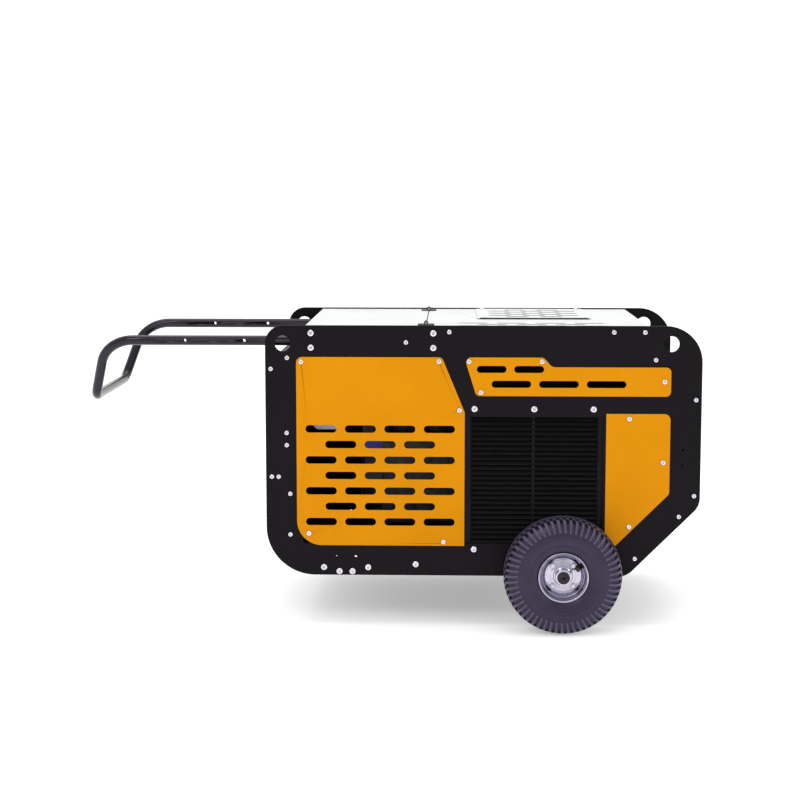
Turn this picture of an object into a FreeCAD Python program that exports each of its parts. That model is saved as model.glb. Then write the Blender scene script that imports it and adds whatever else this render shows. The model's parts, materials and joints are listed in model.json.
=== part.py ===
import FreeCAD, Part

import math
import os

from FreeCAD import Vector

os.makedirs("parts", exist_ok=True)

# A wheeled generator set in a sheet-metal case: two thick side plates carry everything.
# All shapes are drawn in the case's own coordinates: x from the side plates' handle end,
# y from the centre plane, z up from the plates' lower edge. save() moves each shape into
# the part's frame: origin on the floor, under the middle of the bounding box.

# Case
PLATE_LENGTH = 958.0
PLATE_HEIGHT = 557.0
PLATE_THICKNESS = 6.0
CASE_WIDTH = 580.0
OUTER = CASE_WIDTH / 2
INNER = OUTER - PLATE_THICKNESS
CORNER_TOP_HANDLE = 40.0
CORNER_TOP_WHEEL = 80.0
CORNER_BOTTOM_HANDLE = 108.0
CHAMFER_SHIFT = 798.5
CORNER_CHAMFER = 42.0
LIFT_HOLE_RADIUS = 17.5
LIFT_HOLES = [(38.5, 517.0), (890.0, 517.5)]

# Sheet metal
SHEET = 2.0
FLANGE = 20.0
PANEL_SHEET = 2.5
PAN_Z = 38.0
PAN_SHEET = 3.0
COVER_TOP = 554.0
SEAM_X = 353.0
LID_START = 86.0
COVER_END = 842.0

# Wheels
TYRE_RADIUS = 130.0
TYRE_WIDTH = 83.0
RIM_RADIUS = 55.0
BEAD_RADIUS = 50.0
AXLE_X = 654.5
AXLE_Z = 17.3
AXLE_RADIUS = 10.0
WHEEL_OFFSET = 60.0
HUB_HALF = 34.0
HUB_RADIUS = 17.5
BEARING_RADIUS = 14.0
RIM_STUD_CIRCLE = 31.5
AXLE_END = OUTER + WHEEL_OFFSET + 38.0

# Handle
TUBE_RADIUS = 11.0
TUBE_BORE = 8.8
HANDLE_Z = 520.0
HANDLE_Y = 248.0
HANDLE_INNER_END = 400.0
HANDLE_KNEE_X = -359.0
HANDLE_BAR = Vector(-398.5, 177.0, 387.0)
KNEE_BEND = 78.0
BAR_BEND = 40.0
CLAMP_X = [101.0, 370.0]
DETENT_X = (-182.0, -50.0)

# Stand
STAND_X = 177.0
STAND_Z = 19.6
STAND_FOOT_RADIUS = 16.0
STAND_BAR_RADIUS = 12.5
STAND_PIVOT_RADIUS = 6.0
STAND_LOCK_OFFSET = 21.5
STAND_LENGTH = TYRE_RADIUS - AXLE_Z + STAND_Z - STAND_FOOT_RADIUS

# Engine and alternator share one shaft along x
SHAFT_Z = 190.0
SHAFT_RADIUS = 17.5
RUNNING_GAP = 0.05
MOUNT_TOP = 70.0
ENGINE_X = (250.0, 430.0)
CYLINDER_X = [300.0, 380.0]
ALTERNATOR_END = 690.0
MAIN_BEARING_RADIUS = 30.0
BLOWER_RADIUS = 118.0
FAN_RADIUS = 100.0
ALTERNATOR_RADIUS = 115.0
HEAD_Z = (347.0, 376.0)
PORT_Z = 361.5

# Lid hinges
HINGE_Z = 558.8
KNUCKLE_RADIUS = 4.5
HINGE_PIN_RADIUS = 2.5
HINGE_Y = 230.0
HINGE_WIDTH = 36.0

# Control panel at the handle end
PANEL_HALF = 235.0
PANEL_Z = (222.0, 458.0)
SOCKET_Y = [-150.0, -50.0, 50.0, 150.0]
SOCKET_Z = 288.0
SOCKET_HALF = 30.0
WELL_HALF = 20.0
METER_HALF = 50.0
PANEL_X = 5.0
SPLASH_PIVOT_X = PANEL_X - 9
SPLASH_PIVOT_Z = 340.0
SPLASH_PIN_RADIUS = 2.5

FRAME_SHIFT = Vector(
    (TUBE_RADIUS - HANDLE_BAR.x - PLATE_LENGTH) / 2,
    0,
    TYRE_RADIUS - AXLE_Z,
)


# ---------------------------------------------------------------- drawing helpers
def box(x0, x1, y0, y1, z0, z1):
    return Part.makeBox(x1 - x0, y1 - y0, z1 - z0, Vector(x0, y0, z0))


def rod_x(x0, x1, y, z, radius):
    return Part.makeCylinder(radius, x1 - x0, Vector(x0, y, z), Vector(1, 0, 0))


def rod_y(y0, y1, x, z, radius):
    return Part.makeCylinder(radius, y1 - y0, Vector(x, y0, z), Vector(0, 1, 0))


def rod_z(z0, z1, x, y, radius):
    return Part.makeCylinder(radius, z1 - z0, Vector(x, y, z0))


def fuse(shapes):
    return shapes[0].multiFuse(shapes[1:]).removeSplitter() if len(shapes) > 1 else shapes[0]


def rounded_path(points, radii, closed):
    """Straight runs through the points, each corner rounded by its radius."""
    corners = []
    for i, (here, radius) in enumerate(zip(points, radii)):
        if radius == 0:
            corners.append((here, None, here))
            continue
        back = (points[i - 1] - here).normalize()
        ahead = (points[(i + 1) % len(points)] - here).normalize()
        half = back.getAngle(ahead) / 2
        reach = radius / math.tan(half)
        middle = here + (back + ahead).normalize() * (radius / math.sin(half) - radius)
        corners.append((here + back * reach, middle, here + ahead * reach))
    edges = []
    last = len(corners) if closed else len(corners) - 1
    for i, (start, middle, end) in enumerate(corners):
        if middle is not None:
            edges.append(Part.Arc(start, middle, end).toShape())
        following = corners[(i + 1) % len(corners)][0]
        if i < last and (end - following).Length > 1e-6:
            edges.append(Part.LineSegment(end, following).toShape())
    return Part.Wire(edges)


def profile_xz(corners, y0, y1):
    """Prism from y0 to y1 over a closed outline of (x, z, corner radius)."""
    points = [Vector(x, y0, z) for x, z, radius in corners]
    wire = rounded_path(points, [corner[2] for corner in corners], True)
    return Part.Face(wire).extrude(Vector(0, y1 - y0, 0))


def profile_yz(corners, x0, x1):
    points = [Vector(x0, y, z) for y, z, radius in corners]
    wire = rounded_path(points, [corner[2] for corner in corners], True)
    return Part.Face(wire).extrude(Vector(x1 - x0, 0, 0))


def profile_xy(corners, z0, z1):
    points = [Vector(x, y, z0) for x, y, radius in corners]
    wire = rounded_path(points, [corner[2] for corner in corners], True)
    return Part.Face(wire).extrude(Vector(0, 0, z1 - z0))


def rectangle(u0, u1, v0, v1, radius):
    return [(u0, v0, radius), (u1, v0, radius), (u1, v1, radius), (u0, v1, radius)]


def slot_outline(u, v, length, height):
    """Round-ended slot that starts at u and is centred on v."""
    return rectangle(u, u + length, v - height / 2, v + height / 2, height * 0.499)


def strip(path, thickness):
    """Corners of a bent strip: the path, then the path moved sideways by the thickness."""
    normals = []
    for (x0, z0), (x1, z1) in zip(path, path[1:]):
        length = math.hypot(x1 - x0, z1 - z0)
        normals.append(((z0 - z1) / length, (x1 - x0) / length))
    moved = []
    for i, (x, z) in enumerate(path):
        before = normals[max(i - 1, 0)]
        after = normals[min(i, len(normals) - 1)]
        scale = thickness / (1 + before[0] * after[0] + before[1] * after[1])
        moved.append((x + (before[0] + after[0]) * scale, z + (before[1] + after[1]) * scale))
    return [(x, z, 0) for x, z in path + moved[::-1]]


def other_side(shape):
    return shape.mirror(Vector(0, 0, 0), Vector(0, 1, 0))


def both_sides(shape):
    return [shape, other_side(shape)]


def turned(profile, x, z, y):
    """Ring about an axle along y: the profile lists (radius, offset from y)."""
    points = [Vector(x, y + offset, z + radius) for radius, offset in profile]
    face = Part.Face(Part.makePolygon(points + points[:1]))
    return face.revolve(Vector(x, 0, z), Vector(0, 1, 0), 360)


def tube(points, radii, radius, bore):
    """Bent round tube along rounded runs."""
    path = rounded_path(points, radii, False)
    start = points[0]
    direction = points[1] - points[0]
    sections = []
    for r in (radius, bore):
        circle = Part.Wire(Part.makeCircle(r, start, direction))
        sections.append(path.makePipeShell([circle], True, False))
    return sections[0].cut(sections[1])


def save(name, shapes):
    """Write one node: a single solid, or a group of separate solids."""
    solids = []
    for shape in shapes:
        moved = shape.copy()
        moved.translate(FRAME_SHIFT)
        solids.extend(moved.Solids)
    result = solids[0] if len(solids) == 1 else Part.makeCompound(solids)
    result.exportStep("parts/" + name + ".step")
    low, high = result.BoundBox.ZMin, result.BoundBox.ZMax
    print(name, len(solids), "solids", round(low, 1), round(high, 1), result.isValid())


# ---------------------------------------------------------------- fasteners
M8 = {"head": 7.5, "height": 4.4, "key": 2.9, "shank": 4.0, "length": 14.0}
M6 = {"head": 5.4, "height": 3.3, "key": 2.3, "shank": 3.0, "length": 8.0}
PANEL_SCREW = {"head": 5.85, "height": 3.3, "key": 2.3, "shank": 3.0, "length": 8.5}

# Places on the near side plate, as (x, z)
CLAMP_BOLTS = [(x, HANDLE_Z + side * 16 + 4) for x in CLAMP_X for side in (-1, 1)]
GRILLE_BOLTS = [(x, z) for x in (461.0, 592.0, 722.0) for z in (60.0, 373.7)]
STAND_BOLTS = [(128.0, 18.0), (162.6, 9.0), (191.4, 9.0), (226.4, 18.0)]
CROSS_BOLT = [(332.0, 25.4)]
LOCK_SCREW = (310.0, HANDLE_Z)
END_COVER_SCREWS = [(12.5, 461.0), (48.5, 485.4), (13.2, 221.0), (28.2, 221.0),
                    (53.7, 182.7), (53.5, 91.0)]
WHEEL_COVER_SCREWS = [(856.4, 482.8), (945.2, 395.2), (944.6, 182.2), (912.2, 135.7),
                      (816.5, 40.6)]
TOP_COVER_SCREWS = [(405.0, 543.0), (764.5, 543.0), (832.0, 543.0)]
INNER_SCREWS = [(46.7, 319.0), (46.7, 291.6)]
ENGINE_PANEL_SCREWS = [(79.3, 477.0), (382.5, 478.6), (427.7, 370.7), (95.0, 94.3), (393.6, 76.3)]
VENT_PANEL_SCREWS = [(448.4, 478.6), (608.4, 478.6), (474.7, 410.6), (876.2, 435.2)]
CORNER_PANEL_SCREWS = [(800.6, 353.2), (875.4, 256.5), (802.4, 112.5)]
HATCH_SCREWS = [(x, y) for x in (485.0, 717.0) for y in (-44.0, 251.0)]


def button_head(kind):
    """Button-head socket screw along +y: head towards -y, under-head face at y = 0."""
    head = rod_y(-kind["height"], 0, 0, 0, kind["head"])
    crown = [edge for edge in head.Edges
             if abs(edge.BoundBox.YMin + kind["height"]) < 1e-3
             and abs(edge.BoundBox.YMax + kind["height"]) < 1e-3]
    head = head.makeFillet(kind["height"] * 0.8, crown)
    screw = head.fuse(rod_y(0, kind["length"], 0, 0, kind["shank"])).removeSplitter()
    corners = []
    for i in range(6):
        angle = math.radians(60 * i)
        reach = kind["key"] / math.cos(math.radians(30))
        corners.append((reach * math.cos(angle), reach * math.sin(angle), 0))
    return screw.cut(profile_xz(corners, -kind["height"] - 1, -kind["height"] * 0.35))


def screws(kind, places, y):
    master = button_head(kind)
    placed = []
    for x, z in places:
        screw = master.copy()
        screw.translate(Vector(x, y, z))
        placed.append(screw)
    return placed


def shank_holes(places, radius, y0, y1):
    return [rod_y(y0, y1, x, z, radius) for x, z in places]


M8_PLACES = CLAMP_BOLTS + GRILLE_BOLTS + STAND_BOLTS + CROSS_BOLT
M6_PLACES = END_COVER_SCREWS + WHEEL_COVER_SCREWS + TOP_COVER_SCREWS + INNER_SCREWS + [LOCK_SCREW]
PANEL_PLACES = ENGINE_PANEL_SCREWS + VENT_PANEL_SCREWS + CORNER_PANEL_SCREWS
BORED = Part.makeCompound(
    shank_holes(M8_PLACES, M8["shank"], -OUTER - 1, -OUTER + M8["length"])
    + shank_holes(M6_PLACES + PANEL_PLACES, M6["shank"], -OUTER - 5, -OUTER + M6["length"])
)
BORED_BOTH = Part.makeCompound([BORED, other_side(BORED)])


# ---------------------------------------------------------------- side plates and panels
def stand_lock_holes(y0, y1):
    """The two holes that hold the stand's arms folded or down."""
    z = STAND_Z + STAND_LOCK_OFFSET
    return [rod_y(y0, y1, STAND_X + side * STAND_LOCK_OFFSET, z, 3) for side in (-1, 1)]


def side_plate():
    """Thick side plate with a window for each panel and the grille, and two lifting eyes."""
    outline = [
        (0, 0, CORNER_BOTTOM_HANDLE),
        (CHAMFER_SHIFT, 0, CORNER_CHAMFER),
        (PLATE_LENGTH, PLATE_LENGTH - CHAMFER_SHIFT, CORNER_CHAMFER),
        (PLATE_LENGTH, PLATE_HEIGHT, CORNER_TOP_WHEEL),
        (0, PLATE_HEIGHT, CORNER_TOP_HANDLE),
    ]
    plate = profile_xz(outline, -OUTER, -INNER)
    low, high = -OUTER - 1, -INNER + 1
    cuts = [
        profile_xz(rectangle(82, 744, 71.8, 357.3, 4), low, high),
        profile_xz(rectangle(462, 618, 440, 471, 6), low, high),
        profile_xz(rectangle(492, 800, 419, 445, 6), low, high),
        rod_y(low, high, AXLE_X, AXLE_Z, AXLE_RADIUS),
        rod_y(low, high, STAND_X, STAND_Z, STAND_PIVOT_RADIUS),
    ]
    cuts += [rod_y(low, high, x, z, LIFT_HOLE_RADIUS) for x, z in LIFT_HOLES]
    cuts += stand_lock_holes(low, high)
    cuts += [rod_y(low, high, 918.5, z, 2.5) for z in (249.4, 283.8)]
    return plate.cut(Part.makeCompound(cuts)).cut(BORED)


def yellow_panel(outline):
    return profile_xz(outline, -OUTER - PANEL_SHEET, -OUTER)


def engine_panel():
    """Large panel over the engine with seven staggered rows of slots."""
    panel = yellow_panel([
        (68.5, 67.5, 55), (439.5, 67.5, 0), (439.5, 366.0, 11), (389.0, 487.5, 11), (68.5, 487.5, 13),
    ])
    slots = []
    for row in range(7):
        z = 328.3 - 34.6 * row
        start, count = (88.5, 4) if row % 2 == 0 else (132.0, 3)
        for column in range(count):
            outline = slot_outline(start + 87 * column, z, 68.5, 16.5)
            slots.append(profile_xz(outline, -OUTER - PANEL_SHEET - 1, -OUTER + 1))
    return panel.cut(Part.makeCompound(slots)).cut(BORED)


def vent_panel():
    """Long narrow panel with two short and three long slots."""
    panel = yellow_panel([
        (464.7, 402.5, 11), (890.0, 402.5, 11), (890.0, 466.5, 11), (630.0, 466.5, 18),
        (612.0, 487.5, 14), (438.0, 487.5, 11),
    ])
    slots = []
    for x, z, length in [(465.4, 461.5, 65.2), (547.4, 461.5, 65.2)] \
            + [(498.0 + 104.1 * i, 428.7, 86.5) for i in range(3)]:
        outline = slot_outline(x, z, length, 15.5)
        slots.append(profile_xz(outline, -OUTER - PANEL_SHEET - 1, -OUTER + 1))
    return panel.cut(Part.makeCompound(slots)).cut(BORED)


def corner_panel():
    """Plain panel that follows the plate's cut-off corner."""
    panel = yellow_panel([
        (750.0, 68.5, 0), (772.0, 68.5, 8), (890.0, 186.5, 12), (890.0, 364.0, 13), (750.0, 364.0, 0),
    ])
    return panel.cut(BORED)


BLADE_PITCH = 11.0
BLADE_COUNT = 26


def louvre_grille():
    """Black intake grille behind the plate's window: slanted blades that overlap, on three stiles."""
    low, high = -INNER, -INNER + 12
    frame = box(438, 746, low, low + 3, 50, 384)
    frame = frame.cut(box(452, 734, low - 1, low + 4, 74, 355))
    pieces = [frame]
    for x in (448, 588, 732):
        pieces.append(box(x, x + 6, low + 3, high, 72, 357))
    for i in range(BLADE_COUNT):
        z = 76 + BLADE_PITCH * i
        corners = [(low + 0.5, z - 3.0, 0), (low + 2, z - 3.8, 0), (high, z + BLADE_PITCH - 4.4, 0),
                   (high - 1.5, z + BLADE_PITCH - 3.4, 0)]
        pieces.append(profile_yz(corners, 449, 736))
    return fuse(pieces).cut(BORED)


PANELS = {
    "side_plate": side_plate(),
    "engine_panel": engine_panel(),
    "vent_panel": vent_panel(),
    "louvre_grille": louvre_grille(),
}
for panel_name, panel_shape in PANELS.items():
    save(panel_name + "_front", [panel_shape])
    save(panel_name + "_rear", [other_side(panel_shape)])
save("corner_panels", both_sides(corner_panel()))


# ---------------------------------------------------------------- pan, covers and lid
def folded_cover(path, side):
    """Sheet along the path between the plates, with a flange against each plate."""
    sheet = profile_xz(strip(path, side * SHEET), -INNER, INNER)
    flange = profile_xz(strip(path, side * FLANGE), -INNER, -INNER + SHEET)
    return fuse([sheet, flange, other_side(flange)])


def handle_end_cover():
    """End sheet that slopes in at the top and steps in below the control panel."""
    path = [(90, 549), (90, 527), (42, 495.5), (3, 470), (3, 209), (42, 209), (42, PAN_Z + PAN_SHEET)]
    cover = folded_cover(path, 1)
    cuts = [box(0, 6, 10 - PANEL_HALF, PANEL_HALF - 10, PANEL_Z[0] + 10, PANEL_Z[1] - 7)]
    cuts += [rod_x(0, 120, y, HANDLE_Z, TUBE_RADIUS + 2) for y in (-HANDLE_Y, HANDLE_Y)]
    clamp = box(CLAMP_X[0] - 16, CLAMP_X[0] + 16, -INNER, -HANDLE_Y + 17, HANDLE_Z - 25, 551.0)
    cuts += both_sides(clamp)
    for i in range(9):
        outline = slot_outline(-202 + 46 * i, 125, 36, 9)
        cuts.append(profile_yz(outline, 40, 46))
    return cover.cut(Part.makeCompound(cuts)).cut(BORED_BOTH)


def wheel_end_cover():
    """End sheet with a sloped shoulder, five rows of slots and a chamfered foot."""
    line = PLATE_LENGTH - 3
    foot = PAN_Z + PAN_SHEET
    chamfer = CHAMFER_SHIFT - 4
    path = [(845, 549), (845, 511), (line, 401), (line, line - chamfer), (chamfer + foot, foot)]
    cover = folded_cover(path, -1)
    cuts = []
    for row in range(5):
        shift = 0 if row % 2 == 0 else 42
        for column in range(6 - row % 2):
            outline = slot_outline(-247 + 84 * column + shift, 330 - 34.6 * row, 68.5, 16.5)
            cuts.append(profile_yz(outline, line - 5, line + 1))
    return cover.cut(Part.makeCompound(cuts)).cut(BORED_BOTH)


def belly_pan():
    """Floor sheet with drain slots, two stiffening edges and recesses for the stand's arms."""
    top = PAN_Z + PAN_SHEET
    pan = [box(42, CHAMFER_SHIFT - 4 + top, -INNER, INNER, PAN_Z, top)]
    pan += both_sides(box(250, 815, -INNER, -INNER + PAN_SHEET, top, top + 7))
    cuts = both_sides(box(112, 242, -INNER - 1, -INNER + 24, PAN_Z - 1, top + 1))
    for x in (215, 395, 470, 645):
        for y in (-180, -60, 60, 180):
            cuts.append(profile_xy(slot_outline(x, y, 68, 16), PAN_Z - 1, top + 1))
    pan = fuse(pan).cut(Part.makeCompound(cuts))
    return pan.cut(BORED_BOTH)


def cross_members():
    """Square tubes between the side plates, under the floor sheet."""
    members = []
    for x in (94, 332, 560, 763):
        outer = box(x - 18, x + 18, -INNER, INNER, 6, PAN_Z)
        inner = box(x - 15, x + 15, -INNER - 1, INNER + 1, 9, PAN_Z - 3)
        members.append(outer.cut(inner).cut(BORED_BOTH))
    return members


HATCH_X = (469.0, 732.0)
HATCH_Y = (-58.0, 265.0)


def hatch_screw_holes():
    return [rod_z(COVER_TOP - 4, COVER_TOP + 4, x, y, M6["shank"]) for x, y in HATCH_SCREWS]


def top_cover():
    """Fixed roof with a framed hatch opening and three rows of slots along its front side."""
    under = COVER_TOP - SHEET
    half = INNER - 0.5
    cover = [
        box(SEAM_X + 1, COVER_END, -half, half, under, COVER_TOP),
        box(SEAM_X + 1, SEAM_X + 3, -228, 228, 535, under),
        box(COVER_END - 2, COVER_END, 3 - half, half - 3, 531, under),
    ]
    cover += both_sides(box(392, COVER_END - 20, -half - 0.5, -half + 1.5, 533, under))
    cuts = [profile_xy(rectangle(HATCH_X[0] + 24, HATCH_X[1] - 24, HATCH_Y[0] + 24, HATCH_Y[1] - 24, 8),
                       under - 1, COVER_TOP + 1)]
    for row in range(3):
        shift = 43.5 * (row % 2)
        for column in range(4 - row % 2):
            outline = slot_outline(423.5 + 87 * column + shift, -173 - 37 * row, 68.5, 16.5)
            cuts.append(profile_xy(outline, under - 1, COVER_TOP + 1))
    cuts += hatch_screw_holes()
    return fuse(cover).cut(Part.makeCompound(cuts)).cut(BORED_BOTH)


def vent_hatch():
    """Plate with staggered rows of two and three slots, screwed over the roof's opening."""
    hatch = profile_xy(rectangle(*HATCH_X, *HATCH_Y, 6), COVER_TOP, COVER_TOP + SHEET)
    slots = []
    for row in range(7):
        start = 537 - 40 * (row % 2)
        for column in range(2 + row % 2):
            outline = slot_outline(start + 80 * column, 36.5 * row, 54, 16.5)
            slots.append(profile_xy(outline, COVER_TOP - 1, COVER_TOP + SHEET + 1))
    return hatch.cut(Part.makeCompound(slots + hatch_screw_holes()))


def lid():
    """Drop-side lid over the tank: flat top, a skirt at its free end, two stiffening ribs."""
    under = COVER_TOP - SHEET
    half = INNER - 3
    parts = [
        profile_xy(rectangle(LID_START, SEAM_X - 1, -half, half, 3), under, COVER_TOP),
        box(LID_START, LID_START + SHEET, -226, 226, 534, under),
    ]
    for y in (-130, 130):
        rib = box(115, 330, y - 15, y + 15, 542, under)
        parts.append(rib.cut(box(114, 331, y - 13, y + 13, 544, under)))
    return fuse(parts)


save("handle_end_cover", [handle_end_cover()])
save("wheel_end_cover", [wheel_end_cover()])
save("belly_pan", [belly_pan()])
save("cross_members", cross_members())
save("top_cover", [top_cover()])
save("vent_hatch", [vent_hatch()])
save("lid", [lid()])
save("lid_seal", [box(LID_START + SHEET, 97, -225, 225, 549.4, COVER_TOP - SHEET)])


# ---------------------------------------------------------------- lid hinges
def hinge_leaf(y, direction, thirds):
    """Leaf on one side of the seam, joined to the knuckles in the given thirds."""
    third = HINGE_WIDTH / 3
    low, high = y - HINGE_WIDTH / 2, y + HINGE_WIDTH / 2
    ends = sorted((SEAM_X + direction * 18, SEAM_X + direction * 5.2))
    parts = [box(ends[0], ends[1], low, high, COVER_TOP, COVER_TOP + 2)]
    reach = sorted((SEAM_X, SEAM_X + direction * 6))
    for i in thirds:
        start, end = low + third * i + 0.3, low + third * (i + 1) - 0.3
        parts.append(box(reach[0], reach[1], start, end, COVER_TOP + 0.3, COVER_TOP + 2))
        parts.append(rod_y(start, end, SEAM_X, HINGE_Z, KNUCKLE_RADIUS))
    gap = RUNNING_GAP if direction < 0 else 0
    return fuse(parts).cut(rod_y(low - 1, high + 1, SEAM_X, HINGE_Z, HINGE_PIN_RADIUS + gap))


HINGES_AT = (-HINGE_Y, HINGE_Y)
save("hinge_leaves_lid", [hinge_leaf(y, -1, [1]) for y in HINGES_AT])
save("hinge_leaves_cover", [hinge_leaf(y, 1, [0, 2]) for y in HINGES_AT])
save("hinge_pins", [rod_y(y - HINGE_WIDTH / 2, y + HINGE_WIDTH / 2, SEAM_X, HINGE_Z, HINGE_PIN_RADIUS)
                    for y in HINGES_AT])


# ---------------------------------------------------------------- pull-out handle
def handle_tube():
    """One bent loop: two arms, two knees and the cross bar, with detent holes in the arms."""
    near = [
        Vector(HANDLE_INNER_END, -HANDLE_Y, HANDLE_Z),
        Vector(HANDLE_KNEE_X, -HANDLE_Y, HANDLE_Z),
        Vector(HANDLE_BAR.x, -HANDLE_BAR.y, HANDLE_BAR.z),
    ]
    far = [Vector(p.x, -p.y, p.z) for p in reversed(near)]
    bends = [0, KNEE_BEND, BAR_BEND, BAR_BEND, KNEE_BEND, 0]
    loop = tube(near + far, bends, TUBE_RADIUS, TUBE_BORE)
    holes = []
    for x in DETENT_X:
        holes += both_sides(rod_y(-HANDLE_Y - 20, -HANDLE_Y + 20, x, HANDLE_Z, 4))
    return loop.cut(Part.makeCompound(holes))


def handle_clamp(x):
    """Split block bolted inside a side plate; the handle tube slides in its bore."""
    block = profile_xz(rectangle(x - 15, x + 15, HANDLE_Z - 24, 550.5, 3), -INNER, -HANDLE_Y + 16)
    split = box(x - 16, x + 16, -HANDLE_Y, -HANDLE_Y + 17, HANDLE_Z - 0.6, HANDLE_Z + 0.6)
    bore = rod_x(x - 16, x + 16, -HANDLE_Y, HANDLE_Z, TUBE_RADIUS + 0.3)
    return block.cut(split).cut(bore).cut(BORED)


save("handle_tube", [handle_tube()])
save("handle_clamps", [piece for x in CLAMP_X for piece in both_sides(handle_clamp(x))])


# ---------------------------------------------------------------- fold-down stand
ARM_Y = (-276.0, -268.0)


def stand_leg():
    """Hoop of two flat arms and a tube; each arm has an ear with a lock hole."""
    foot_x = STAND_X + STAND_LENGTH
    ear = STAND_X - STAND_LOCK_OFFSET, STAND_Z + STAND_LOCK_OFFSET
    arm = profile_xz([
        (STAND_X - 14, STAND_Z - 14, 10), (foot_x + 14, STAND_Z - 14, 10), (foot_x + 14, STAND_Z + 14, 10),
        (STAND_X + 8, STAND_Z + 14, 10), (ear[0] + 3, ear[1] + 10, 5), (ear[0] - 9, ear[1] - 3, 5),
    ], *ARM_Y)
    pivot_hole = rod_y(-280, -260, STAND_X, STAND_Z, STAND_PIVOT_RADIUS + RUNNING_GAP)
    arm = arm.cut(pivot_hole).cut(rod_y(-280, -260, *ear, 3))
    bar = rod_y(ARM_Y[1] - 8, -ARM_Y[1] + 8, foot_x, STAND_Z, STAND_BAR_RADIUS)
    bore = rod_y(ARM_Y[1] - 9, -ARM_Y[1] + 9, foot_x, STAND_Z, STAND_BAR_RADIUS - 2.5)
    return fuse([arm, other_side(arm), bar]).cut(bore)


def stand_foot(y0, y1):
    """Rubber sleeve over the hoop's tube."""
    foot_x = STAND_X + STAND_LENGTH
    sleeve = rod_y(y0, y1, foot_x, STAND_Z, STAND_FOOT_RADIUS)
    return sleeve.cut(rod_y(y0 - 1, y1 + 1, foot_x, STAND_Z, STAND_BAR_RADIUS))


def stand_bracket():
    """Bracket plate with a welded pivot stud; the stud's head keeps the leg's arm on."""
    plate = profile_xz([(116, 4, 6), (238, 4, 6), (238, 30, 8), (212, 51, 8), (142, 51, 8), (116, 30, 8)],
                       -INNER, -INNER + 6)
    plate = plate.cut(Part.makeCompound(stand_lock_holes(-INNER - 1, -INNER + 7)))
    stud = rod_y(-OUTER, ARM_Y[1] + 1, STAND_X, STAND_Z, STAND_PIVOT_RADIUS)
    head = rod_y(ARM_Y[1] + 0.5, ARM_Y[1] + 4, STAND_X, STAND_Z, 10)
    return fuse([plate.cut(BORED), stud, head])


save("stand_leg", [stand_leg()])
save("stand_feet", [stand_foot(-230, -150), stand_foot(150, 230)])
save("stand_brackets", both_sides(stand_bracket()))


# ---------------------------------------------------------------- wheels and axle
TYRE_WALL = 7.0
BEAD_HALF = 29.0


def tyre(y):
    """Hollow tyre: skin and lining, each two side walls and a crown, joined at the beads."""
    def place(radius, offset):
        return Vector(AXLE_X, y + offset, AXLE_Z + radius)

    edges = []
    for depth in (0, TYRE_WALL):
        half = TYRE_WIDTH / 2 - depth
        crown = TYRE_RADIUS - depth
        shoulder = (crown - 11, half - 8)
        for side in (-1, 1):
            foot = place(BEAD_RADIUS, side * (BEAD_HALF - depth))
            flange = place(RIM_RADIUS + 0.8, side * (BEAD_HALF + 4.4 - depth))
            edges.append(Part.LineSegment(foot, flange).toShape())
            belly = place(88, side * half)
            edges.append(Part.Arc(flange, belly, place(shoulder[0], side * shoulder[1])).toShape())
        edges.append(Part.Arc(place(shoulder[0], -shoulder[1]), place(crown, 0), place(*shoulder)).toShape())
    for side in (-1, 1):
        inner = place(BEAD_RADIUS, side * (BEAD_HALF - TYRE_WALL))
        edges.append(Part.LineSegment(inner, place(BEAD_RADIUS, side * BEAD_HALF)).toShape())
    wire = Part.Wire(Part.__sortEdges__(edges))
    return Part.Face(wire).revolve(Vector(AXLE_X, 0, AXLE_Z), Vector(0, 1, 0), 360)


def rim(y):
    """Two pressed steel halves and the hub tube, joined as one wheel centre."""
    barrel = strip([(RIM_RADIUS, 34.5), (BEAD_RADIUS, 29.5), (BEAD_RADIUS, 17), (42, 12), (42, 2),
                    (37, 2), (30, 6), (24, 6), (21, 2), (18, 2)], -2.2)
    half = turned([(r, w) for r, w, unused in barrel], AXLE_X, AXLE_Z, y)
    other = half.mirror(Vector(0, y, 0), Vector(0, 1, 0))
    web = rod_y(y - 4, y + 4, AXLE_X, AXLE_Z, 41)
    hub = rod_y(y - HUB_HALF, y + HUB_HALF, AXLE_X, AXLE_Z, HUB_RADIUS)
    parts = [half, other, web, hub]
    for i in range(4):
        angle = math.radians(45 + 90 * i)
        x = AXLE_X + RIM_STUD_CIRCLE * math.cos(angle)
        z = AXLE_Z + RIM_STUD_CIRCLE * math.sin(angle)
        parts.append(rod_y(y - 12, y + 12, x, z, 4.5))
    return fuse(parts).cut(rod_y(y - 40, y + 40, AXLE_X, AXLE_Z, BEARING_RADIUS))


def wheel_bearings(y):
    """A bearing ring in each end of the hub tube."""
    bearings = []
    for low in (y - HUB_HALF, y + HUB_HALF - 12):
        ring = rod_y(low, low + 12, AXLE_X, AXLE_Z, BEARING_RADIUS)
        bearings.append(ring.cut(rod_y(low - 1, low + 13, AXLE_X, AXLE_Z, AXLE_RADIUS + RUNNING_GAP)))
    return bearings


def axle_collars():
    """A spacer sleeve inside each wheel and a clip ring outside it."""
    middle = -OUTER - WHEEL_OFFSET
    inner_end = middle + HUB_HALF + 0.4
    outer_end = middle - HUB_HALF - 0.4
    rings = []
    for low, high, radius in ((inner_end, -OUTER, 15), (outer_end - 3, outer_end, 13)):
        ring = rod_y(low, high, AXLE_X, AXLE_Z, radius)
        bore = rod_y(low - 1, high + 1, AXLE_X, AXLE_Z, AXLE_RADIUS)
        rings += both_sides(ring.cut(bore))
    return rings


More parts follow.
